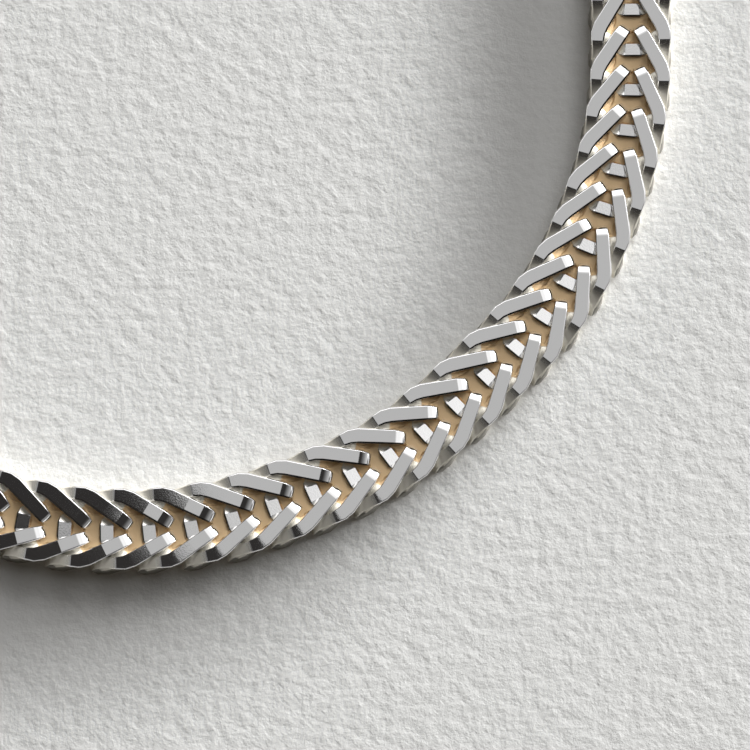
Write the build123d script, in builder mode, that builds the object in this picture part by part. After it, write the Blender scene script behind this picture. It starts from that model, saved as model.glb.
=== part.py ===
"""Foxtail chain necklace, closed by a box clasp and lying flat in one long loop. Millimetres.

X runs across the loop, Y along it from the front bend to the clasp, and Z up from the surface it lies on.
The origin is on that surface, under the middle of the whole necklace.
The three rows of woven rings are drawn as the solid band that they fill, swept along the loop's real line.
"""
import os
from math import radians, tan

from build123d import *

# Chain band
chain_width = 6.0
chain_thickness = 2.0
# Bevel along the band's four long edges, where the side rings bend down and back under
chain_bevel = 0.4

# Box clasp, hollow at both ends and open below there, so that the chain's ends lie flat inside it
clasp_length = 14.0
clasp_wall = 0.6
clasp_corner = 1.2
clasp_soft_edge = 0.35
socket_depth = 3.0
socket_gap = 0.1

# Corner points of the loop's right half in millimetres from the front bend's middle, as (x, y)
# The bends between the corners are as large as the runs beside them allow
right_half_route = [
    (5.5, 0.0),
    (19.3, 4.9),
    (31.5, 16.7),
    (36.6, 29.0),
    (36.8, 57.0),
    (36.4, 94.0),
    (35.8, 133.0),
    (34.2, 162.8),
    (27.8, 173.8),
    (16.5, 179.8),
]
# Share of the shorter of two runs that the bend between them takes up
bend_share = 0.45

# Sizes that follow from the ones above
clasp_width = chain_width + 2 * (socket_gap + clasp_wall)
clasp_height = chain_thickness + socket_gap + clasp_wall
clasp_core_length = clasp_length - 2 * socket_depth
chain_end_x = clasp_core_length / 2 + socket_gap
back_run_y = right_half_route[-1][1]
front_edge_y = right_half_route[0][1] - chain_width / 2
back_edge_y = back_run_y + clasp_width / 2
loop_middle_y = (front_edge_y + back_edge_y) / 2
clasp_y = back_run_y - loop_middle_y
chain_middle_z = chain_thickness / 2


def loop_points() -> list[Vector]:
    """Corner points of the chain's middle line, from its left end at the clasp round to its right end."""
    right = [Vector(x, y - loop_middle_y, chain_middle_z) for x, y in right_half_route]
    right.append(Vector(chain_end_x, clasp_y, chain_middle_z))
    left = [Vector(-point.X, point.Y, point.Z) for point in reversed(right)]
    return [*left, *right]


def bend_radii(points: list[Vector]) -> list[float]:
    """Radius of the bend at each inner corner, as large as the shorter run beside it allows."""
    radii = []
    for before, corner, after in zip(points, points[1:], points[2:]):
        run_in = corner - before
        run_out = after - corner
        half_turn = radians(run_in.get_angle(run_out)) / 2
        radii.append(bend_share * min(run_in.length, run_out.length) / tan(half_turn))
    return radii


loop = loop_points()
radii = bend_radii(loop)

# The chain lies with its underside on the surface
with BuildPart() as chain:
    with BuildLine() as chain_line:
        FilletPolyline(*loop, radius=radii)
    middle_line = chain_line.wires()[0]
    with BuildSketch(Plane(origin=middle_line @ 0, x_dir=(0, 1, 0), z_dir=middle_line % 0)) as chain_section:
        Rectangle(chain_width, chain_thickness)
        chamfer(chain_section.vertices(), chain_bevel)
    sweep(path=middle_line)
chain.part.label = "chain"

# The clasp's solid core stands between the chain's two ends
with BuildPart() as clasp:
    with BuildSketch() as clasp_plan:
        with Locations((0, clasp_y)):
            RectangleRounded(clasp_length, clasp_width, clasp_corner)
    extrude(amount=clasp_height)
    top_rim = clasp.faces().sort_by(Axis.Z)[-1].edges()
    fillet(top_rim, clasp_soft_edge)
    socket_middle_x = (clasp_length - socket_depth) / 2
    with BuildSketch() as socket_plan:
        with Locations((-socket_middle_x, clasp_y), (socket_middle_x, clasp_y)):
            Rectangle(socket_depth, chain_width + 2 * socket_gap)
    extrude(amount=chain_thickness + socket_gap, mode=Mode.SUBTRACT)
clasp.part.label = "clasp"

section_area = chain_section.sketch.area
chain_length = middle_line.length
print("bend radii", [round(radius, 1) for radius in radii])
print("chain length", round(chain_length, 2), "with the clasp's core", round(chain_length + 2 * chain_end_x, 2))
print("chain volume", round(chain.part.volume, 2), "section times length", round(section_area * chain_length, 2))

os.makedirs("parts", exist_ok=True)
export_step(chain.part, "parts/chain.step")
export_step(clasp.part, "parts/clasp.step")
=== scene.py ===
"""Looks of the foxtail chain necklace: woven rings in three rows, a box clasp, paper floor, light and camera.

The loop's route is the one that the solid chain band follows. Sizes in the classes are millimetres, and each
finished mesh is in metres. Along a row, a runs with the chain's travel from a V's tip, b to its left, z up.
"""
import logging
import math
import random
from dataclasses import dataclass, field, replace
from enum import Enum

import bpy
from mathutils import Matrix, Quaternion, Vector


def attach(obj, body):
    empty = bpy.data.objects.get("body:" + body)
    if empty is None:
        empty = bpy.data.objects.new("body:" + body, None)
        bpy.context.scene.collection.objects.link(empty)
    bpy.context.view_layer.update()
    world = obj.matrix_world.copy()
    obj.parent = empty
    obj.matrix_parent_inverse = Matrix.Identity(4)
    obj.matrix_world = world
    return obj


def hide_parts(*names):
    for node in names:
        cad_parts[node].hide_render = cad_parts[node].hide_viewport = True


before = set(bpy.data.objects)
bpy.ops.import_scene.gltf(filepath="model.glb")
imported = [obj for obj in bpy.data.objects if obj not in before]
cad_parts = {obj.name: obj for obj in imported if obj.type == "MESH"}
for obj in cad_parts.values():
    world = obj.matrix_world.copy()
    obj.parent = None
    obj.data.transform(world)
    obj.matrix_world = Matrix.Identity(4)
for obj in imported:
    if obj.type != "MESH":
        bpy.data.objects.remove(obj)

logger = logging.getLogger("foxtail_chain")

MILLIMETRE = 0.001
SEED = 11
LEAST_TURN = 1e-6
JUST_OVER_ONE = 1.0001
SECTION_CORNERS = 6

Colour = tuple[float, float, float, float]
Steps = tuple[float, float]


class Row(Enum):
    """A row of side rings, and the side of the chain's middle line that it lies on."""

    LEFT = 1
    RIGHT = -1


class Side(Enum):
    """A side of the wire, named by the two corners of the section that it runs between."""

    FLAT = frozenset({0, 5})
    LEFT_BEVEL = frozenset({0, 1})
    LEFT_WALL = frozenset({1, 2})
    INNER = frozenset({2, 3})
    RIGHT_WALL = frozenset({3, 4})
    RIGHT_BEVEL = frozenset({4, 5})


def select_only(thing: bpy.types.Object) -> None:
    """Leave one object selected and active.

    Args:
        thing: The object.
    """
    bpy.ops.object.select_all(action="DESELECT")
    thing.select_set(True)
    bpy.context.view_layer.objects.active = thing


def edit_all() -> None:
    """Enter edit mode with the whole mesh selected."""
    bpy.ops.object.mode_set(mode="EDIT")
    bpy.ops.mesh.select_all(action="SELECT")


def leave_edit() -> None:
    """Go back to object mode."""
    bpy.ops.object.mode_set(mode="OBJECT")


def heading_of(run: Vector) -> float:
    """Direction of a level run, in radians from +X."""
    return math.atan2(run.y, run.x)


def wrapped(angle: float) -> float:
    """The same angle as a turn of at most half a circle either way."""
    return (angle + math.pi) % (2 * math.pi) - math.pi


def turn_selected(turn: Quaternion, centre: Vector) -> None:
    """Turn what is selected in edit mode round a point.

    Args:
        turn: The rotation, in the mesh's own axes.
        centre: The point that stays where it is.
    """
    angles = turn.to_euler("XYZ")
    for axis, angle in zip("XYZ", angles):
        if abs(angle) > LEAST_TURN:
            bpy.ops.transform.rotate(value=-angle, orient_axis=axis, center_override=centre)


@dataclass(frozen=True)
class Bend:
    """One place along a ring's wire.

    Attributes:
        place: Middle of the wire's outer face, as (a, b, z).
        width: Width of the flat outer face.
        across: Direction across the wire from its right side to its left, as (a, b, z).
        depth: Thickness of the wire behind the outer face.
        polish: How bright the outer face is finished, from 0 to 1.
        inner_polish: How bright the inner face is finished, from 0 to 1.
        crisp: Whether the outer face breaks here in a clean line.
        inner_crisp: Whether the inner face breaks here in a clean line.
        round: Whether the outer face rounds off into the wire's sides here.
        dark_left: How much painted shade darkens the wire's left side, from 0 to 1.
        dark_right: How much painted shade darkens the wire's right side, from 0 to 1.
        wall_left: How much painted shade darkens the wall below the left bevel, where the bevel has none.
    """

    place: tuple[float, float, float]
    width: float
    across: tuple[float, float, float]
    depth: float
    polish: float = 1.0
    inner_polish: float = 0.0
    crisp: bool = False
    inner_crisp: bool = False
    round: bool = False
    dark_left: float = 0.0
    dark_right: float = 0.0
    wall_left: float = 0.0


@dataclass
class RingWire:
    """A length of flattened wire, bent round into a closed ring.

    Attributes:
        name: Name of the ring's object.
        bends: Places along the wire, once round.
        left_shoulder: How far the bevelled left side stands out past the flat outer face.
        right_shoulder: How far the bevelled right side stands out.
        shoulder_depth: How far below the outer face the sides are widest.
        left_belly: Share of the wire's half width that its inner face keeps on the left.
        right_belly: The same on the right.
        right_wall_share: Share of the right bevel's painted shade that the wall below it gets.
    """

    name: str
    bends: list[Bend]
    left_shoulder: float = 0.09
    right_shoulder: float = 0.10
    shoulder_depth: float = 0.045
    left_belly: float = 0.92
    right_belly: float = 1.1
    right_wall_share: float = 0.3

    def make(self) -> bpy.types.Object:
        """Bend the wire into its ring.

        Returns:
            The ring in its own axes, in millimetres.
        """
        frames = self._segment_frames()
        runs = self._run_lengths()
        thing = self._straight_wire(runs)
        self._bend_wire(thing, frames, runs)
        self._close_ring(thing)
        return thing

    def _run_lengths(self) -> list[float]:
        """Lengths of the runs from each bend to the next, the last one back to the first."""
        places = [Vector(bend.place) for bend in self.bends]
        return [(after - before).length for before, after in zip(places, [*places[1:], places[0]])]

    def _segment_frames(self) -> list[Matrix]:
        """Work out how each run from a bend to the next lies.

        Returns:
            Axes of each run: along the wire, across it, and out of its flat face.
        """
        places = [Vector(bend.place) for bend in self.bends]
        widths = [Vector(bend.across) for bend in self.bends]
        frames = []
        for here in range(len(places)):
            after = (here + 1) % len(places)
            along = (places[after] - places[here]).normalized()
            across = (widths[here] + widths[after]).normalized()
            across = (across - across.dot(along) * along).normalized()
            outward = along.cross(across)
            frames.append(Matrix((along, across, outward)).transposed())
        return frames

    def _straight_wire(self, runs: list[float]) -> bpy.types.Object:
        """Draw the wire out straight along X with a section at each bend.

        Args:
            runs: Lengths of the runs between bends.

        Returns:
            An open tube with six flat sides.
        """
        bpy.ops.mesh.primitive_circle_add(vertices=SECTION_CORNERS, radius=1.0, fill_type="NOTHING")
        thing = bpy.context.object
        thing.name = self.name
        for vertex, (side, down) in zip(thing.data.vertices, self._section(self.bends[0])):
            vertex.co = (0.0, side, -down)
        edit_all()
        x = 0.0
        for here, (before, bend) in enumerate(zip(self.bends, self.bends[1:])):
            bpy.ops.mesh.extrude_region_move(TRANSFORM_OT_translate={"value": (runs[here], 0.0, 0.0)})
            x += runs[here]
            bpy.ops.transform.resize(
                value=(1.0, bend.width / before.width, bend.depth / before.depth),
                center_override=(x, 0.0, 0.0),
            )
        leave_edit()
        return thing

    def _section(self, bend: Bend) -> list[tuple[float, float]]:
        """Corners of the wire's section as (side, down), once round.

        Args:
            bend: The place where the section stands.

        Returns:
            Six corners, the flat outer face between the first and the last.
        """
        half = bend.width / 2
        return [
            (half, 0.0),
            (half + self.left_shoulder, self.shoulder_depth),
            (half * self.left_belly, bend.depth),
            (-half * self.right_belly, bend.depth),
            (-half - self.right_shoulder, self.shoulder_depth),
            (-half, 0.0),
        ]

    def _bend_wire(self, thing: bpy.types.Object, frames: list[Matrix], runs: list[float]) -> None:
        """Bend the straight wire at each section, from its far end back, and set it in place.

        Args:
            thing: The straight wire.
            frames: Axes of each run.
            runs: Lengths of the runs.
        """
        count = len(self.bends)
        for here in reversed(range(count)):
            whole = (frames[here - 1].transposed() @ frames[here]).to_quaternion()
            half = Quaternion().slerp(whole, 0.5)
            centre = Vector((sum(runs[:here]), 0.0, 0.0))
            if here == 0:
                self._turn_sections(thing, range(1), half.inverted(), centre)
                continue
            self._turn_sections(thing, range(here, count), half, centre)
            if here + 1 < count:
                self._turn_sections(thing, range(here + 1, count), half, centre)
        edit_all()
        turn_selected(frames[0].to_quaternion(), Vector())
        bpy.ops.transform.translate(value=self.bends[0].place)
        leave_edit()

    def _turn_sections(
        self, thing: bpy.types.Object, sections: range, turn: Quaternion, centre: Vector
    ) -> None:
        """Turn some of the wire's sections round one of its bends.

        Args:
            thing: The wire.
            sections: Numbers of the sections to turn.
            turn: The rotation.
            centre: The bend's place.
        """
        for part in (*thing.data.edges, *thing.data.polygons):
            part.select = False
        for vertex in thing.data.vertices:
            vertex.select = vertex.index // SECTION_CORNERS in sections
        bpy.ops.object.mode_set(mode="EDIT")
        turn_selected(turn, centre)
        leave_edit()

    def _close_ring(self, thing: bpy.types.Object) -> None:
        """Join the wire's two open ends, shade it and note its finish and its painted shade.

        Args:
            thing: The bent wire.
        """
        bpy.ops.object.mode_set(mode="EDIT")
        bpy.ops.mesh.select_mode(type="EDGE")
        bpy.ops.mesh.select_all(action="DESELECT")
        bpy.ops.mesh.select_non_manifold()
        bpy.ops.mesh.bridge_edge_loops(type="SINGLE")
        bpy.ops.mesh.select_all(action="SELECT")
        bpy.ops.mesh.normals_make_consistent(inside=False)
        bpy.ops.mesh.faces_shade_smooth()
        bpy.ops.mesh.select_all(action="DESELECT")
        leave_edit()
        self._select_crisp_edges(thing)
        bpy.ops.object.mode_set(mode="EDIT")
        bpy.ops.mesh.mark_sharp()
        bpy.ops.mesh.select_mode(type="VERT")
        leave_edit()
        self._note_finish(thing)

    def _select_crisp_edges(self, thing: bpy.types.Object) -> None:
        """Select the two long edges of the wire's flat outer face, and the lines where it breaks.

        Args:
            thing: The closed ring.
        """
        for edge in thing.data.edges:
            sections = sorted(index // SECTION_CORNERS for index in edge.vertices)
            corners = frozenset(index % SECTION_CORNERS for index in edge.vertices)
            first, last = (self.bends[section] for section in sections)
            if sections[0] == sections[1]:
                outside = corners == Side.FLAT.value and first.crisp
                inside = corners == Side.INNER.value and first.inner_crisp
                edge.select = outside or inside
            else:
                beside_flat = len(corners) == 1 and corners < Side.FLAT.value
                edge.select = beside_flat and not (first.round or last.round)

    def _note_finish(self, thing: bpy.types.Object) -> None:
        """Write how bright each face corner is finished, and how much painted shade darkens it, as attributes for
        the material.

        Args:
            thing: The closed ring.
        """
        polish = thing.data.attributes.new("polish", "FLOAT", "CORNER")
        painted_shade = thing.data.attributes.new("painted_shade", "FLOAT", "CORNER")
        for polygon in thing.data.polygons:
            side = Side(frozenset(index % SECTION_CORNERS for index in polygon.vertices))
            outer = side in (Side.FLAT, Side.LEFT_BEVEL, Side.RIGHT_BEVEL)
            for loop_index in polygon.loop_indices:
                bend = self.bends[thing.data.loops[loop_index].vertex_index // SECTION_CORNERS]
                # Painted shade: the rear bevels stand for the shadowed gaps behind the arms, and the outer walls
                # are dimmed.
                darkening = {
                    Side.LEFT_BEVEL: bend.dark_left,
                    Side.LEFT_WALL: max(bend.dark_left, bend.wall_left),
                    Side.RIGHT_BEVEL: bend.dark_right,
                    Side.RIGHT_WALL: bend.dark_right * self.right_wall_share,
                }
                polish.data[loop_index].value = bend.polish if outer else bend.inner_polish
                painted_shade.data[loop_index].value = darkening.get(side, 0.0)


@dataclass
class LoopRoute:
    """The chain's middle line, from its left end at the clasp round to its right end.

    Attributes:
        right_half: Corner points of the loop's right half as (x, y) from the front bend's middle.
        chain_end_x: Distance of each end of the chain from the loop's middle line, at the clasp.
        loop_middle_y: The loop's middle, measured from the front bend.
        bend_share: Share of the shorter of two runs that the bend between them takes up.
        ease: Distance each way over which the curvature is averaged.
    """

    right_half: list[tuple[float, float]] = field(
        default_factory=lambda: [
            (5.5, 0.0),
            (19.3, 4.9),
            (31.5, 16.7),
            (36.6, 29.0),
            (36.8, 57.0),
            (36.4, 94.0),
            (35.8, 133.0),
            (34.2, 162.8),
            (27.8, 173.8),
            (16.5, 179.8),
        ]
    )
    chain_end_x: float = 4.1
    loop_middle_y: float = 90.25
    bend_share: float = 0.45
    ease: float = 6.0

    def __post_init__(self) -> None:
        """Lay out the runs and bends once."""
        back_run_y = self.right_half[-1][1]
        right = [Vector((x, y - self.loop_middle_y)) for x, y in self.right_half]
        right.append(Vector((self.chain_end_x, back_run_y - self.loop_middle_y)))
        corners = [*(Vector((-point.x, point.y)) for point in reversed(right)), *right]
        self.parts: list[tuple[float, Vector, float, float]] = []
        self.length = 0.0
        here = corners[0]
        for before, corner, after in zip(corners, corners[1:], corners[2:]):
            run_in = corner - before
            run_out = after - corner
            heading = heading_of(run_in)
            turn = wrapped(heading_of(run_out) - heading)
            reach = self.bend_share * min(run_in.length, run_out.length)
            radius = reach / math.tan(abs(turn) / 2)
            bend_start = corner - run_in.normalized() * reach
            self._add_part((bend_start - here).length, here, heading, 0.0)
            self._add_part(radius * abs(turn), bend_start, heading, math.copysign(1 / radius, turn))
            here = corner + run_out.normalized() * reach
        last_run = corners[-1] - here
        self._add_part(last_run.length, here, heading_of(last_run), 0.0)

    def _add_part(self, length: float, start: Vector, heading: float, curvature: float) -> None:
        """Note one straight run or bend, and add its length to the route's."""
        self.parts.append((self.length, start, heading, curvature))
        self.length += length

    def at(self, distance: float) -> tuple[Vector, float]:
        """Point and heading at a distance along the chain from its left end.

        Args:
            distance: Distance along the middle line.

        Returns:
            The point as (x, y), and the heading in radians from +X.
        """
        begin, start, heading, curvature = self.parts[0]
        for part in self.parts:
            if part[0] > distance:
                break
            begin, start, heading, curvature = part
        travelled = distance - begin
        if curvature == 0.0:
            return start + travelled * Vector((math.cos(heading), math.sin(heading))), heading
        end_heading = heading + travelled * curvature
        offset = Vector((math.sin(end_heading) - math.sin(heading), math.cos(heading) - math.cos(end_heading)))
        return start + offset / curvature, end_heading

    def beside(self, distance: float, left: float) -> Vector:
        """Point beside the middle line.

        Args:
            distance: Distance along the middle line.
            left: Distance to the left of it, negative to the right.

        Returns:
            The point as (x, y).
        """
        point, heading = self.at(distance)
        return point + left * Vector((-math.sin(heading), math.cos(heading)))

    def curvature(self, distance: float) -> float:
        """Curvature averaged over a few links.

        Args:
            distance: Distance along the middle line.

        Returns:
            The curvature for each millimetre, positive for a left bend.
        """
        _, before = self.at(max(distance - self.ease, 0.0))
        _, after = self.at(min(distance + self.ease, self.length))
        return wrapped(after - before) / (2 * self.ease)


@dataclass
class FoxtailWeave:
    """The three rows of rings, woven along the loop.

    Attributes:
        route: The chain's middle line.
        pitch: Distance from one V's tip to the next.
        first_tip: Distance of the first V's tip from the chain's left end.
        pairs: Number of pairs of side rings.
        largest_drift: How far the tips may move to the outside of a bend.
        drift_share: Drift for each unit of curvature, in square millimetres.
        wobble: Largest tilt of one ring against its row, in degrees.
        right_roll: How far the right row's flat tops lean in to the middle, in degrees.
        left_droop: How far the outer ends of the left row's flat tops hang down.
        right_droop: How far the outer ends of the right row's flat tops hang down.
        left_dark: How much painted shade darkens the rear sides of the left row's top arms, for the shadowed gap
            behind them, from 0 to 1.
        right_dark: The same painted shade for the right row.
        wall_dark: How much painted shade darkens the outer walls of both rows.
        shift: How far the noses lie to the left of the middle line.
        right_forward: How far the right row's noses stand ahead of the left row's.
        outer_forward_share: Share of that by which the right row's outer ends stand ahead too.
        outer_back: Distance of a side ring's outer end behind the V's tip.
        outer_side: Distance of that end from the middle line.
        nose_back: Distance of a side ring's nose behind the V's tip.
        nose_side: Distance of the nose from the middle line.
        side_middle_back: Distance of a side ring's middle behind the V's tip.
        high_bar_back: Distance of a centre ring's high bar behind the tip of the pair that it threads.
        low_bar_ahead: Distance of its low bar ahead of that tip.
    """

    route: LoopRoute = field(default_factory=LoopRoute)
    pitch: float = 3.023
    first_tip: float = 3.833
    pairs: int = 145
    largest_drift: float = 0.2
    drift_share: float = 6.0
    wobble: float = 0.08
    right_roll: float = 0.85
    left_droop: float = 0.0
    right_droop: float = 0.012
    left_dark: float = 1.0
    right_dark: float = 0.6
    wall_dark: float = 0.6
    shift: float = 0.08
    right_forward: float = 0.2
    outer_forward_share: float = 0.4
    outer_back: float = 4.25
    outer_side: float = 2.54
    nose_back: float = 0.1
    nose_side: float = 0.35
    side_middle_back: float = 2.2
    high_bar_back: float = 1.8
    low_bar_ahead: float = 2.3

    def side_bends(self, droop: float, dark: float) -> list[Bend]:
        """Wire of a left side ring: top arm, nose, ramp down, bottom arm, outer bend and ramp up.

        Args:
            droop: How far the flat top's outer end hangs below the rest of it.
            dark: How much painted shade darkens the top arm's rear side, from 0 to 1.

        Returns:
            The places along the wire.
        """
        arm = (0.53, 0.848, 0.0)
        outer_arm = (0.40, 0.916, 0.0)
        level = (0.0, 1.0, 0.0)
        slant = (0.28, 0.96, 0.0)
        top_arm = [
            Bend((-4.33, 2.48, 1.981 - droop), 0.74, level, 0.60, 1.0, 0.8, crisp=True),
            Bend((-3.75, 2.43, 1.985), 0.85, slant, 0.60, 1.0, 0.8),
            Bend((-3.15, 2.20, 1.990), 0.90, outer_arm, 0.60, 1.0, 0.8),
            Bend((-2.05, 1.54, 2.00), 0.87, arm, 0.60, 1.0, 0.8, crisp=True),
            Bend((-1.04, 0.93, 1.991), 0.85, arm, 0.60, 1.0, 0.8),
            Bend((-0.90, 0.84, 1.985), 0.84, arm, 0.60, 1.0, 0.8),
            Bend((-0.42, 0.55, 1.74), 0.78, arm, 0.58, 1.0, 0.6, crisp=True),
        ]
        nose_and_bottom = [
            Bend((-0.17, 0.40, 1.52), 0.64, arm, 0.52, 0.9, 0.5, round=True),
            Bend((-0.05, 0.34, 1.12), 0.46, arm, 0.48, 0.5, round=True),
            Bend((-1.45, 0.48, 0.18), 0.70, slant, 1.00, 0.0),
            Bend((-2.00, 0.70, 0.00), 0.95, arm, 1.36, 0.4),
            Bend((-3.56, 1.70, 0.00), 1.02, outer_arm, 1.46, 0.4, 0.0, inner_crisp=True),
            Bend((-3.66, 1.77, 0.00), 1.02, outer_arm, 1.60, 0.4, 0.45, inner_crisp=True),
        ]
        outer_bend = [
            Bend((-4.30, 2.22, 0.00), 1.00, slant, 1.74, 0.45, 0.45),
            Bend((-5.00, 2.46, 0.00), 0.98, level, 1.30, 0.45, 0.45),
            Bend((-5.72, 2.47, 0.08), 0.94, level, 0.70, 0.45, 0.45),
            Bend((-6.22, 2.42, 0.55), 0.76, level, 0.60, 0.45, 0.45),
            Bend((-5.85, 2.40, 1.27), 0.70, level, 0.60, 0.45, 0.45),
            Bend((-5.05, 2.43, 1.68), 0.72, level, 0.60, 0.45, 0.45),
            Bend((-4.40, 2.478, 1.952 - droop), 0.73, level, 0.60, 0.65, 0.6),
        ]
        # The top arm's rear side and the outer bend's walls carry painted shade.
        return [
            *(replace(bend, dark_right=dark) for bend in top_arm),
            *nose_and_bottom,
            *(replace(bend, wall_left=self.wall_dark) for bend in outer_bend),
        ]

    def centre_bends(self) -> list[Bend]:
        """Wire of a centre ring, once round its flat: high wide bar behind, waist, low bar in front.

        Returns:
            The places along the wire.
        """
        left_half = [
            # The high bar's rear shoulder carries painted shade, a dark line for the shadowed gap behind it.
            Bend((-1.85, 0.52, 1.56), 0.90, (-1.0, 0.0, 0.25), 0.36, 0.9, 0.0, crisp=True, dark_left=1.0),
            Bend((-1.82, 0.80, 1.44), 0.80, (-1.0, 0.1, 0.20), 0.34, 0.3, dark_left=0.2),
            Bend((-1.45, 1.18, 1.42), 0.75, (-0.6, 0.8, 0.10), 0.34, 0.0),
            Bend((-0.75, 1.14, 1.42), 0.84, (0.0, 1.0, 0.0), 0.34, 0.0),
            Bend((-0.10, 0.53, 1.46), 1.24, (0.0, 1.0, 0.02), 0.34, 0.0),
            Bend((0.95, 0.53, 1.46), 1.24, (0.0, 1.0, 0.02), 0.34, 0.0),
            Bend((1.60, 1.06, 1.38), 0.76, (0.0, 1.0, 0.0), 0.34, 0.0),
            Bend((2.25, 0.55, 1.30), 1.10, (1.0, 0.15, -0.05), 0.34, 0.0),
        ]
        right_half = [
            replace(
                bend,
                place=(bend.place[0], -bend.place[1], bend.place[2]),
                across=(bend.across[0], -bend.across[1], bend.across[2]),
            )
            for bend in reversed(left_half)
        ]
        return [*left_half, *right_half]

    def place_side(self, tip: float, row: Row) -> Matrix:
        """Find where one side ring lies.

        Args:
            tip: Distance of the ring's tip along the route.
            row: The row that the ring belongs to.

        Returns:
            The placement of the ring's own axes, in millimetres.
        """
        side = row.value
        right = row is Row.RIGHT
        drift = self._drift(tip - self.side_middle_back)
        forward = self.right_forward if right else 0.0
        outer_distance = tip - self.outer_back + self.outer_forward_share * forward
        outer = self.route.beside(outer_distance, side * self.outer_side)
        inner_side = side * self.nose_side + self.shift - drift
        inner = self.route.beside(tip - self.nose_back + forward, inner_side)
        own_outer = Vector((-self.outer_back, side * self.outer_side))
        own_inner = Vector((-self.nose_back, side * self.nose_side))
        turn = heading_of(inner - outer) - heading_of(own_inner - own_outer)
        middle = (outer + inner) / 2
        own_middle = (own_outer + own_inner) / 2
        roll = math.radians(-self.right_roll if right else 0.0)
        return (
            Matrix.Translation((middle.x, middle.y, 0.0))
            @ Matrix.Rotation(turn, 4, "Z")
            @ Matrix.Rotation(roll, 4, "X")
            @ self._wobble()
            @ Matrix.Translation((-own_middle.x, -own_middle.y, 0.0))
        )

    def place_centre(self, tip: float) -> Matrix:
        """Find where one centre ring lies, from its high bar to its low one.

        Args:
            tip: Distance along the route of the tip of the pair that it threads.

        Returns:
            The placement of the ring's own axes, in millimetres.
        """
        rear_distance = tip - self.high_bar_back
        front_distance = tip + self.low_bar_ahead
        rear = self.route.beside(rear_distance, -self._drift(rear_distance))
        front = self.route.beside(front_distance, -self._drift(front_distance))
        middle = (rear + front) / 2
        own_middle = (self.low_bar_ahead - self.high_bar_back) / 2
        return (
            Matrix.Translation((middle.x, middle.y, 0.0))
            @ Matrix.Rotation(heading_of(front - rear), 4, "Z")
            @ self._wobble()
            @ Matrix.Translation((-own_middle, 0.0, 0.0))
        )

    def _drift(self, distance: float) -> float:
        """How far the tips stand to the outside of a left bend."""
        return min(self.drift_share * max(self.route.curvature(distance), 0.0), self.largest_drift)

    def _wobble(self) -> Matrix:
        """Draw a small tilt of its own for one ring.

        Returns:
            The tilt.
        """
        roll = math.radians(random.uniform(-self.wobble, self.wobble))
        pitch = math.radians(random.uniform(-self.wobble, self.wobble))
        return Matrix.Rotation(roll, 4, "X") @ Matrix.Rotation(pitch, 4, "Y")

    def build(self) -> list[bpy.types.Object]:
        """Make the three rows.

        Returns:
            The left row, the right row and the centre row.
        """
        tips = [self.first_tip + self.pitch * number for number in range(self.pairs)]
        left_wire = RingWire("left_ring", self.side_bends(self.left_droop, self.left_dark))
        right_wire = RingWire(
            "right_ring", self.side_bends(self.right_droop, self.right_dark), right_shoulder=0.05
        )
        centre_wire = RingWire(
            "centre_ring",
            self.centre_bends(),
            left_shoulder=0.09,
            right_shoulder=0.09,
            shoulder_depth=0.06,
            left_belly=0.85,
            right_belly=0.85,
        )
        left_places = [self.place_side(tip, Row.LEFT) for tip in tips]
        right_places = [self.place_side(tip, Row.RIGHT) for tip in tips]
        centre_places = [self.place_centre(tip) for tip in tips[:-1]]
        return [
            self._row(left_wire, "left_row_links", left_places),
            self._row(right_wire, "right_row_links", right_places, mirrored=True),
            self._row(centre_wire, "centre_links", centre_places),
        ]

    def _row(self, wire: RingWire, name: str, places: list[Matrix], mirrored: bool = False) -> bpy.types.Object:
        """Bend one ring, copy it to each place of its row and join the copies.

        Args:
            wire: The wire of the ring that the row repeats.
            name: Name of the row's object.
            places: Placement of each ring, in millimetres.
            mirrored: Whether the rings are the wire's mirror image.

        Returns:
            The row, in metres, with its object at the origin.
        """
        ring = wire.make()
        if mirrored:
            self._mirror_ring(ring)
        to_metres = Matrix.Scale(MILLIMETRE, 4)
        copies = []
        for place in places:
            copy = bpy.data.objects.new(name, ring.data.copy())
            bpy.context.scene.collection.objects.link(copy)
            copy.data.transform(to_metres @ place)
            copies.append(copy)
        select_only(copies[0])
        for copy in copies:
            copy.select_set(True)
        bpy.ops.object.join()
        row = bpy.context.object
        row.name = name
        row.data.name = name
        bpy.data.objects.remove(ring)
        return row

    def _mirror_ring(self, ring: bpy.types.Object) -> None:
        """Turn a left ring into a right one.

        Args:
            ring: The ring.
        """
        select_only(ring)
        edit_all()
        bpy.ops.transform.resize(value=(1.0, -1.0, 1.0), center_override=(0.0, 0.0, 0.0))
        bpy.ops.mesh.normals_make_consistent(inside=False)
        leave_edit()


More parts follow.
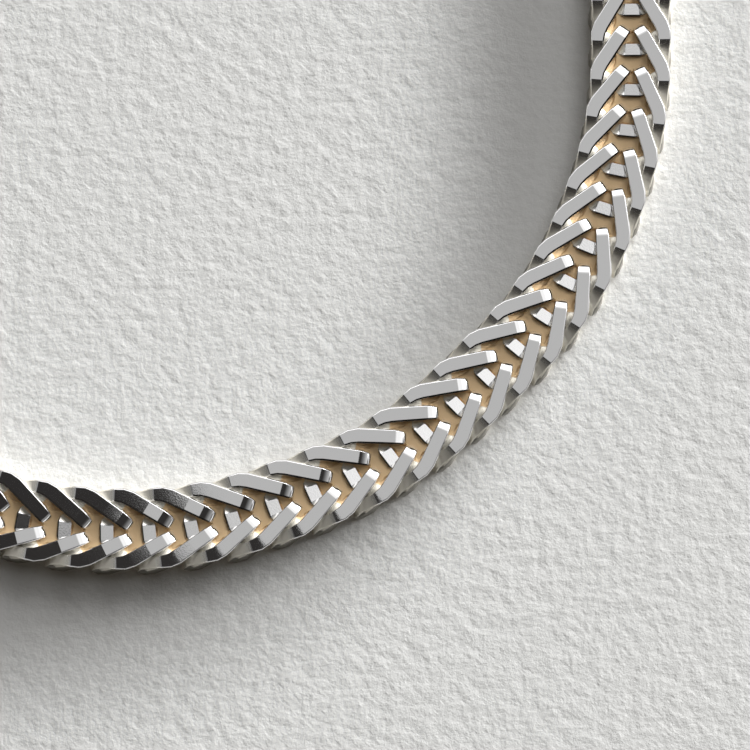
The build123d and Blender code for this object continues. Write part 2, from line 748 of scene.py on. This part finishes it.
class ShaderSocket:
    """A node's output that can be used in Python expressions, which add Math nodes."""

    def __init__(self, tree: "ShaderTree", socket: bpy.types.NodeSocket | None) -> None:
        """Wrap a node's output socket, or none for a node that ends the tree."""
        self.tree = tree
        self.socket = socket

    def _maths(self, operation: str, *values: "ShaderSocket | float") -> "ShaderSocket":
        """Add a Math node on these values."""
        return self.tree.node("ShaderNodeMath", {"operation": operation}, dict(enumerate(values)))

    def __add__(self, other: "ShaderSocket | float") -> "ShaderSocket":
        """Sum of two values."""
        return self._maths("ADD", self, other)

    __radd__ = __add__

    def __sub__(self, other: "ShaderSocket | float") -> "ShaderSocket":
        """Difference of two values."""
        return self._maths("SUBTRACT", self, other)

    def __rsub__(self, other: float) -> "ShaderSocket":
        """Difference from a number."""
        return self._maths("SUBTRACT", other, self)

    def __mul__(self, other: "ShaderSocket | float") -> "ShaderSocket":
        """Product of two values."""
        return self._maths("MULTIPLY", self, other)

    __rmul__ = __mul__

    def __truediv__(self, other: "ShaderSocket | float") -> "ShaderSocket":
        """Quotient of two values."""
        return self._maths("DIVIDE", self, other)

    def root(self) -> "ShaderSocket":
        """Square root."""
        return self._maths("SQRT", self)

    def smooth(self, low: float, high: float) -> "ShaderSocket":
        """Smooth step from 0 at the low value to 1 at the high one.

        Args:
            low: Value where the step starts.
            high: Value where it ends.

        Returns:
            The step, from 0 to 1.
        """
        sockets = {"Value": self, "From Min": low, "From Max": high}
        return self.tree.node("ShaderNodeMapRange", {"interpolation_type": "SMOOTHSTEP"}, sockets)


class ShaderTree:
    """The nodes of one material or of the world."""

    def __init__(self, owner: bpy.types.Material | bpy.types.World) -> None:
        """Start an empty node tree.

        Args:
            owner: The material or world that it belongs to.
        """
        owner.use_nodes = True
        self.nodes = owner.node_tree.nodes
        self.links = owner.node_tree.links
        self.nodes.clear()

    def node(
        self,
        kind: str,
        settings: dict[str, object] | None = None,
        sockets: dict[str | int, object] | None = None,
        output: str | int = 0,
    ) -> ShaderSocket:
        """Add a node.

        Args:
            kind: The node's type.
            settings: Its own settings, such as an operation.
            sockets: Values or links for its inputs, by name or number.
            output: The output to hand back.

        Returns:
            The wrapped output.
        """
        made = self.nodes.new(kind)
        for name, value in (settings or {}).items():
            setattr(made, name, value)
        for name, value in (sockets or {}).items():
            if isinstance(value, ShaderSocket):
                self.links.new(value.socket, made.inputs[name])
            else:
                made.inputs[name].default_value = value
        return ShaderSocket(self, made.outputs[output] if made.outputs else None)

    def mix_colour(
        self, share: ShaderSocket, first: ShaderSocket | Colour, second: ShaderSocket | Colour
    ) -> ShaderSocket:
        """Mix two colours.

        Args:
            share: How much of the second colour shows.
            first: Colour where the share is 0.
            second: Colour where the share is 1.

        Returns:
            The mixed colour.
        """
        return self.node("ShaderNodeMix", {"data_type": "RGBA"}, {0: share, 6: first, 7: second}, 2)

    def noise(self, place: ShaderSocket, scale: float, detail: float, roughness: float = 0.5) -> ShaderSocket:
        """Add a noise pattern."""
        sockets = {"Vector": place, "Scale": scale, "Detail": detail, "Roughness": roughness}
        return self.node("ShaderNodeTexNoise", sockets=sockets)

    def bump(self, strength: float, depth: float, height: ShaderSocket) -> ShaderSocket:
        """Add a bump, its depth in metres."""
        return self.node("ShaderNodeBump", sockets={"Strength": strength, "Distance": depth, "Height": height})

    def surface(self, sockets: dict[str | int, object]) -> None:
        """End a material with a shader that has these inputs."""
        shader = self.node("ShaderNodeBsdfPrincipled", sockets=sockets)
        self.node("ShaderNodeOutputMaterial", sockets={"Surface": shader})


@dataclass(frozen=True)
class ChainSilver:
    """Sterling silver of the rings: cut flats bright, the metal between them duller and warmer, its slight warmth
    of its own deepened to paint the warm light reflected between the rings.

    Attributes:
        bright: Colour of the cut flats.
        worn: Colour of the unpolished outer bends.
        warm: Colour of the inner faces between the rings: the metal's slight warmth, deepened into painted warm
            reflected light and shade.
        painted_shade_colour: Near-black colour of the painted shade on the rear shoulders and outer walls.
        dull_roughness: Roughness of the inner faces.
        dull_metal: How metallic the inner faces still look.
        flat_roughness: Roughness of the cut flats.
        worn_steps: Polish between which warm turns to worn.
        bright_steps: Polish between which worn turns to bright.
        metal_steps: Polish between which dull turns to fully metallic.
        grain_scale: Fineness of the grain, for each metre.
        grain_detail: Number of finer layers in the grain.
        grain_roughness: Roughness that the grain adds.
        pit_height: Height of the grain's pits on unpolished metal, in pit depths.
        pits_polished_off: How much of that height full polish takes off.
        pit_strength: How strongly the pits turn the light.
        pit_depth: Depth of a pit, in metres.
    """

    bright: Colour = (0.93, 0.925, 0.92, 1.0)
    worn: Colour = (0.86, 0.82, 0.72, 1.0)
    warm: Colour = (1.0, 0.72, 0.41, 1.0)
    painted_shade_colour: Colour = (0.05, 0.045, 0.04, 1.0)
    dull_roughness: float = 0.60
    dull_metal: float = 0.05
    flat_roughness: float = 0.02
    worn_steps: Steps = (0.0, 0.4)
    bright_steps: Steps = (0.5, 0.8)
    metal_steps: Steps = (0.3, 0.6)
    grain_scale: float = 9000.0
    grain_detail: float = 3.0
    grain_roughness: float = 0.02
    pit_height: float = 20.0
    pits_polished_off: float = 19.5
    pit_strength: float = 0.03
    pit_depth: float = 0.00002

    def material(self) -> bpy.types.Material:
        """Make the material.

        Returns:
            The material.
        """
        made = bpy.data.materials.new("chain_silver")
        tree = ShaderTree(made)
        place = tree.node("ShaderNodeTexCoord", output="Object")
        polish = tree.node("ShaderNodeAttribute", {"attribute_name": "polish"}, output="Fac")
        painted_shade = tree.node("ShaderNodeAttribute", {"attribute_name": "painted_shade"}, output="Fac")
        # Inner faces take the warm colour: painted warm light reflected between the rings, over the metal's own
        # slight warmth.
        unpolished = tree.mix_colour(polish.smooth(*self.worn_steps), self.warm, self.worn)
        worked = tree.mix_colour(polish.smooth(*self.bright_steps), unpolished, self.bright)
        # Painted shade: where the attribute says so, the colour goes to near black.
        colour = tree.mix_colour(painted_shade, worked, self.painted_shade_colour)
        grain = tree.noise(place, self.grain_scale, self.grain_detail)
        polished_off = (self.dull_roughness - self.flat_roughness) * polish
        roughness = self.dull_roughness - polished_off + self.grain_roughness * grain
        pitted = grain * (self.pit_height - self.pits_polished_off * polish)
        bump = tree.bump(self.pit_strength, self.pit_depth, pitted)
        metal = self.dull_metal + (1.0 - self.dull_metal) * polish.smooth(*self.metal_steps)
        tree.surface({"Base Color": colour, "Metallic": metal, "Roughness": roughness, "Normal": bump})
        return made


@dataclass(frozen=True)
class ClaspSilver:
    """Polished silver of the clasp, with a fine brushed grain along it.

    Attributes:
        colour: Colour of the metal.
        grain_scales: Fineness of the grain along X, Y and Z, for each metre.
        grain_detail: Number of finer layers in the grain.
        least_roughness: Roughness where the grain is smoothest.
        grain_roughness: Roughness that the grain adds.
        groove_strength: How strongly the grain's grooves turn the light.
        groove_depth: Depth of a groove, in metres.
    """

    colour: Colour = (0.92, 0.91, 0.89, 1.0)
    grain_scales: tuple[float, float, float] = (400.0, 12000.0, 9000.0)
    grain_detail: float = 4.0
    least_roughness: float = 0.14
    grain_roughness: float = 0.16
    groove_strength: float = 0.08
    groove_depth: float = 0.00002

    def material(self) -> bpy.types.Material:
        """Make the material.

        Returns:
            The material.
        """
        made = bpy.data.materials.new("clasp_silver")
        tree = ShaderTree(made)
        place = tree.node("ShaderNodeTexCoord", output="Object")
        stretched = tree.node("ShaderNodeMapping", sockets={"Vector": place, "Scale": self.grain_scales})
        brushed = tree.noise(stretched, 1.0, self.grain_detail)
        roughness = self.least_roughness + self.grain_roughness * brushed
        bump = tree.bump(self.groove_strength, self.groove_depth, brushed)
        tree.surface({"Base Color": self.colour, "Metallic": 1.0, "Roughness": roughness, "Normal": bump})
        return made


@dataclass(frozen=True)
class RoughPaper:
    """Pale sheet with a coarse, softly pitted surface.

    Attributes:
        colour: Colour of the sheet.
        roughness: Roughness of the sheet.
        pit_scale: Fineness of the pits, for each metre.
        pit_detail: Number of finer layers in the pits.
        pit_roughness: How strong each finer layer is against the one before.
        pit_strength: How strongly the pits turn the light.
        pit_depth: Depth of a pit, in metres.
    """

    colour: Colour = (0.80, 0.80, 0.785, 1.0)
    roughness: float = 0.95
    pit_scale: float = 900.0
    pit_detail: float = 6.0
    pit_roughness: float = 0.62
    pit_strength: float = 0.28
    pit_depth: float = 0.0003

    def material(self) -> bpy.types.Material:
        """Make the material.

        Returns:
            The material.
        """
        made = bpy.data.materials.new("rough_paper")
        tree = ShaderTree(made)
        place = tree.node("ShaderNodeTexCoord", output="Object")
        pits = tree.noise(place, self.pit_scale, self.pit_detail, self.pit_roughness)
        bump = tree.bump(self.pit_strength, self.pit_depth, pits)
        tree.surface({"Base Color": self.colour, "Roughness": self.roughness, "Normal": bump})
        return made


@dataclass(frozen=True)
class Glow:
    """A soft patch of light in the sky.

    Attributes:
        strength: Brightness at its middle.
        azimuth: Direction of its middle, in degrees from +X.
        side_steps: Cosines of the level angle from its middle where it fades in.
        rise_steps: Heights where it fades in going up, or None where it reaches the floor.
        fall_steps: Heights where it fades out again.
    """

    strength: float
    azimuth: float
    side_steps: Steps
    rise_steps: Steps | None
    fall_steps: Steps


class SkyLook:
    """A direction looked up in the sky, as values of the world's nodes."""

    def __init__(self, tree: ShaderTree) -> None:
        """Read the direction.

        Args:
            tree: The world's nodes.
        """
        self.tree = tree
        self.direction = tree.node("ShaderNodeTexCoord", output="Generated")
        self.north = tree.node("ShaderNodeSeparateXYZ", sockets={0: self.direction}, output=1)
        self.up = tree.node("ShaderNodeSeparateXYZ", sockets={0: self.direction}, output=2)
        self.level = (JUST_OVER_ONE - self.up * self.up).root()

    def along(self, azimuth: float) -> ShaderSocket:
        """Measure how far it runs one way.

        Args:
            azimuth: The way, in degrees from +X.

        Returns:
            The share that runs that way.
        """
        angle = math.radians(azimuth)
        sockets = {0: self.direction, 1: (math.cos(angle), math.sin(angle), 0.0)}
        return self.tree.node("ShaderNodeVectorMath", {"operation": "DOT_PRODUCT"}, sockets, "Value")

    def glow(self, glow: Glow) -> ShaderSocket:
        """Read how bright one patch of light is there.

        Args:
            glow: The patch.

        Returns:
            The brightness.
        """
        light = glow.strength * (self.along(glow.azimuth) / self.level).smooth(*glow.side_steps)
        if glow.rise_steps:
            light = light * self.up.smooth(*glow.rise_steps)
        return light * (1 - self.up.smooth(*glow.fall_steps))


@dataclass
class SoftSky:
    """Light from all round: dark to the lower left, grey overhead, bright to the upper right.

    Azimuths are degrees from +X, heights are sines of the angle above the floor, and each pair of steps is
    where a light starts and ends to fade.

    Attributes:
        overhead: Brightness of the grey straight overhead.
        overhead_rise: How much brighter it grows toward the light.
        rise_azimuth: Direction in which it grows.
        rise_steps: How far that way it grows.
        edge_azimuth: Direction from the dark toward the grey overhead.
        edge_steps: Where the dark turns to grey, that way.
        north_steps: Where it turns to grey toward the north.
        overhead_steps: Heights where it fades in.
        key: Low, narrow light to the upper right.
        key_mirrored: Share of it that polished metal shows.
        fill: Soft light above it, to the left, which polished metal doesn't show.
        gloss: That soft light in polished metal, where it looks wider.
        west: Light higher up to the left, shown in polished metal only.
        horizon: Brightness that polished metal shows low down, all round.
        horizon_steps: Heights where it fades out.
        east: Grey halfway up in the east, shown in polished metal only.
        east_azimuth: Direction of its middle.
        east_steps: How far that way it fades in.
        east_height_steps: Heights where it fades in.
        dark: Brightness of all the rest.
        white: Colour of the lights.
        dim_on_matte: Colour of the rest on matte surfaces.
        dim_in_metal: Colour of the rest in polished metal.
        dim_steps: Brightness where that colour gives way to white.
        backdrop: Colour that the camera sees past the floor.
        backdrop_strength: Its brightness.
    """

    overhead: float = 0.46
    overhead_rise: float = 0.50
    rise_azimuth: float = 32.0
    rise_steps: Steps = (0.43, 0.50)
    edge_azimuth: float = 43.8
    edge_steps: Steps = (0.0575, 0.0595)
    north_steps: Steps = (0.095, 0.115)
    overhead_steps: Steps = (0.50, 0.80)
    key: Glow = Glow(255.0, 42.0, (0.89, 0.97), (0.08, 0.115), (0.14, 0.18))
    key_mirrored: float = 0.035
    fill: Glow = Glow(5.6, 68.0, (0.90, 0.97), (0.26, 0.38), (0.55, 0.72))
    gloss: Glow = Glow(1.7, 72.0, (0.1, 0.9), (0.12, 0.2), (0.60, 0.80))
    west: Glow = Glow(0.34, 190.0, (0.3, 0.95), None, (0.60, 0.78))
    horizon: float = 0.2
    horizon_steps: Steps = (0.42, 0.55)
    east: float = 0.42
    east_azimuth: float = 355.0
    east_steps: Steps = (0.45, 0.75)
    east_height_steps: Steps = (0.50, 0.65)
    dark: float = 0.03
    white: Colour = (1.0, 1.0, 1.0, 1.0)
    dim_on_matte: Colour = (1.0, 0.80, 0.58, 1.0)
    dim_in_metal: Colour = (1.0, 0.94, 0.92, 1.0)
    dim_steps: Steps = (0.0, 0.1)
    backdrop: Colour = (0.8, 0.8, 0.79, 1.0)
    backdrop_strength: float = 0.85

    def build(self) -> None:
        """Make the sky the scene's world."""
        world = bpy.data.worlds.new("soft_light")
        bpy.context.scene.world = world
        tree = ShaderTree(world)
        look = SkyLook(tree)
        mirrored = tree.node("ShaderNodeLightPath", output="Is Glossy Ray")
        bright = (
            self._overhead(look)
            + look.glow(self.key) * (1 - (1 - self.key_mirrored) * mirrored)
            + look.glow(self.fill) * (1 - mirrored)
            + look.glow(self.gloss) * mirrored
            + self.horizon * (1 - look.up.smooth(*self.horizon_steps)) * mirrored
            + look.glow(self.west) * mirrored
            + self._east(look) * mirrored
        )
        dim = tree.mix_colour(mirrored, self.dim_on_matte, self.dim_in_metal)
        colour = tree.mix_colour(bright.smooth(*self.dim_steps), dim, self.white)
        lit = tree.node("ShaderNodeBackground", sockets={"Color": colour, "Strength": self.dark + bright})
        backdrop = tree.node(
            "ShaderNodeBackground", sockets={"Color": self.backdrop, "Strength": self.backdrop_strength}
        )
        seen = tree.node("ShaderNodeLightPath", output="Is Camera Ray")
        sky = tree.node("ShaderNodeMixShader", sockets={0: seen, 1: lit, 2: backdrop})
        tree.node("ShaderNodeOutputWorld", sockets={"Surface": sky})

    def _overhead(self, look: SkyLook) -> ShaderSocket:
        """Read the grey straight overhead, which ends in a clean line toward the dark.

        Args:
            look: The direction looked up.

        Returns:
            The brightness.
        """
        grey = self.overhead + self.overhead_rise * look.along(self.rise_azimuth).smooth(*self.rise_steps)
        edge = look.along(self.edge_azimuth).smooth(*self.edge_steps) * look.north.smooth(*self.north_steps)
        return grey * edge * look.up.smooth(*self.overhead_steps)

    def _east(self, look: SkyLook) -> ShaderSocket:
        """Brightness of the grey in the east, on the dark side of the overhead's north edge."""
        side = look.along(self.east_azimuth).smooth(*self.east_steps) * (1 - look.north.smooth(*self.north_steps))
        return self.east * side * look.up.smooth(*self.east_height_steps)


@dataclass
class Studio:
    """Paper floor, soft light from the upper right and the camera.

    Attributes:
        floor_size: Side of the square floor, in metres.
        target: Point on the floor that the camera looks at, in millimetres.
        elevation: Camera's angle above the floor, in degrees.
        distance: Camera's distance from the target, in millimetres.
        lens: Focal length, in millimetres.
        sensor_width: Width of the camera's sensor, in millimetres.
        nearest: Nearest distance that the camera sees, in metres.
        farthest: Farthest distance that it sees, in metres.
        sky: The light.
    """

    floor_size: float = 3.0
    target: tuple[float, float, float] = (17.944, -78.708, 0.0)
    elevation: float = 80.0
    distance: float = 300.0
    lens: float = 199.0
    sensor_width: float = 36.0
    nearest: float = 0.01
    farthest: float = 10.0
    sky: SoftSky = field(default_factory=SoftSky)

    def build(self) -> None:
        """Lay the floor, light it and set up the camera."""
        self._floor()
        self.sky.build()
        self._camera()

    def _floor(self) -> None:
        """Lay the sheet of paper."""
        bpy.ops.object.select_all(action="DESELECT")
        bpy.ops.mesh.primitive_plane_add(size=self.floor_size, location=(0.0, 0.0, 0.0))
        floor = bpy.context.object
        floor.name = "paper_floor"
        floor.data.materials.append(RoughPaper().material())

    def _camera(self) -> None:
        """Set up the camera at the photograph's angle."""
        target = Vector(self.target) * MILLIMETRE
        angle = math.radians(self.elevation)
        back = Vector((0.0, -math.cos(angle), math.sin(angle)))
        data = bpy.data.cameras.new("photo_camera")
        camera = bpy.data.objects.new("photo_camera", data)
        bpy.context.scene.collection.objects.link(camera)
        data.sensor_width = self.sensor_width
        data.lens = self.lens
        data.clip_start = self.nearest
        data.clip_end = self.farthest
        camera.location = target + back * self.distance * MILLIMETRE
        camera.rotation_euler = (math.radians(90.0 - self.elevation), 0.0, 0.0)
        bpy.context.scene.camera = camera


@dataclass
class Necklace:
    """The chain and its clasp."""

    weave: FoxtailWeave = field(default_factory=FoxtailWeave)

    def build(self) -> list[bpy.types.Object]:
        """Make the rows of rings, dress them and the clasp.

        Returns:
            The three rows and the clasp.
        """
        silver = ChainSilver().material()
        rows = self.weave.build()
        for row in rows:
            row.data.materials.clear()
            row.data.materials.append(silver)
            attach(row, "root")
            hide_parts("chain")
        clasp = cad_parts["clasp"]
        clasp.data.materials.clear()
        clasp.data.materials.append(ClaspSilver().material())
        return [*rows, clasp]


def main() -> None:
    """Build the necklace and the studio, and report each piece."""
    logging.basicConfig(level=logging.INFO, format="%(message)s")
    random.seed(SEED)
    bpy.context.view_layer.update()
    for piece in Necklace().build():
        logger.info("%s: %d faces", piece.name, len(piece.data.polygons))
    Studio().build()
    bpy.context.scene.view_settings.view_transform = "Standard"
    bpy.context.view_layer.update()


if __name__ == "__main__":
    main()
